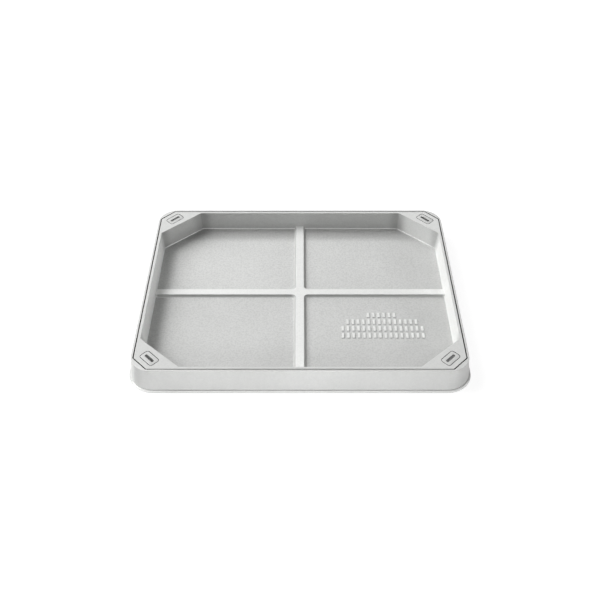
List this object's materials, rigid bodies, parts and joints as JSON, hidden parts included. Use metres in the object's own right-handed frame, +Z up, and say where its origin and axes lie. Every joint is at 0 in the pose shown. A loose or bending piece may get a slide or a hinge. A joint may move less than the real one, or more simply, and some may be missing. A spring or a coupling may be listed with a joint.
{
  "type": "recessed paving cover",
  "caption": "Recessed access cover for block paving: a ribbed lift-out tray with plugged lifting corners, in a flanged frame with rounded corners.",
  "frame": {"origin": "middle of the frame's underside, at the bedding face", "axes": "+X along the long side, +Y along the short side towards the rear as pictured, +Z up"},
  "size_m": [0.6678, 0.5178, 0.0515],
  "materials": {
    "frame_casting": "smooth matt casting, pale neutral grey",
    "tray_casting": "fine-grained matt casting, pale neutral grey",
    "seal_rubber": "matt black",
    "plug_plastic": "satin, pale neutral grey"
  },
  "bodies": {
    "root": {"frame": "frame_casting", "tray": "tray_casting", "seal_strip": "seal_rubber", "lifting_plug_front_left": "plug_plastic", "lifting_plug_front_right": "plug_plastic", "lifting_plug_rear_left": "plug_plastic", "lifting_plug_rear_right": "plug_plastic"}
  },
  "joints": []
}
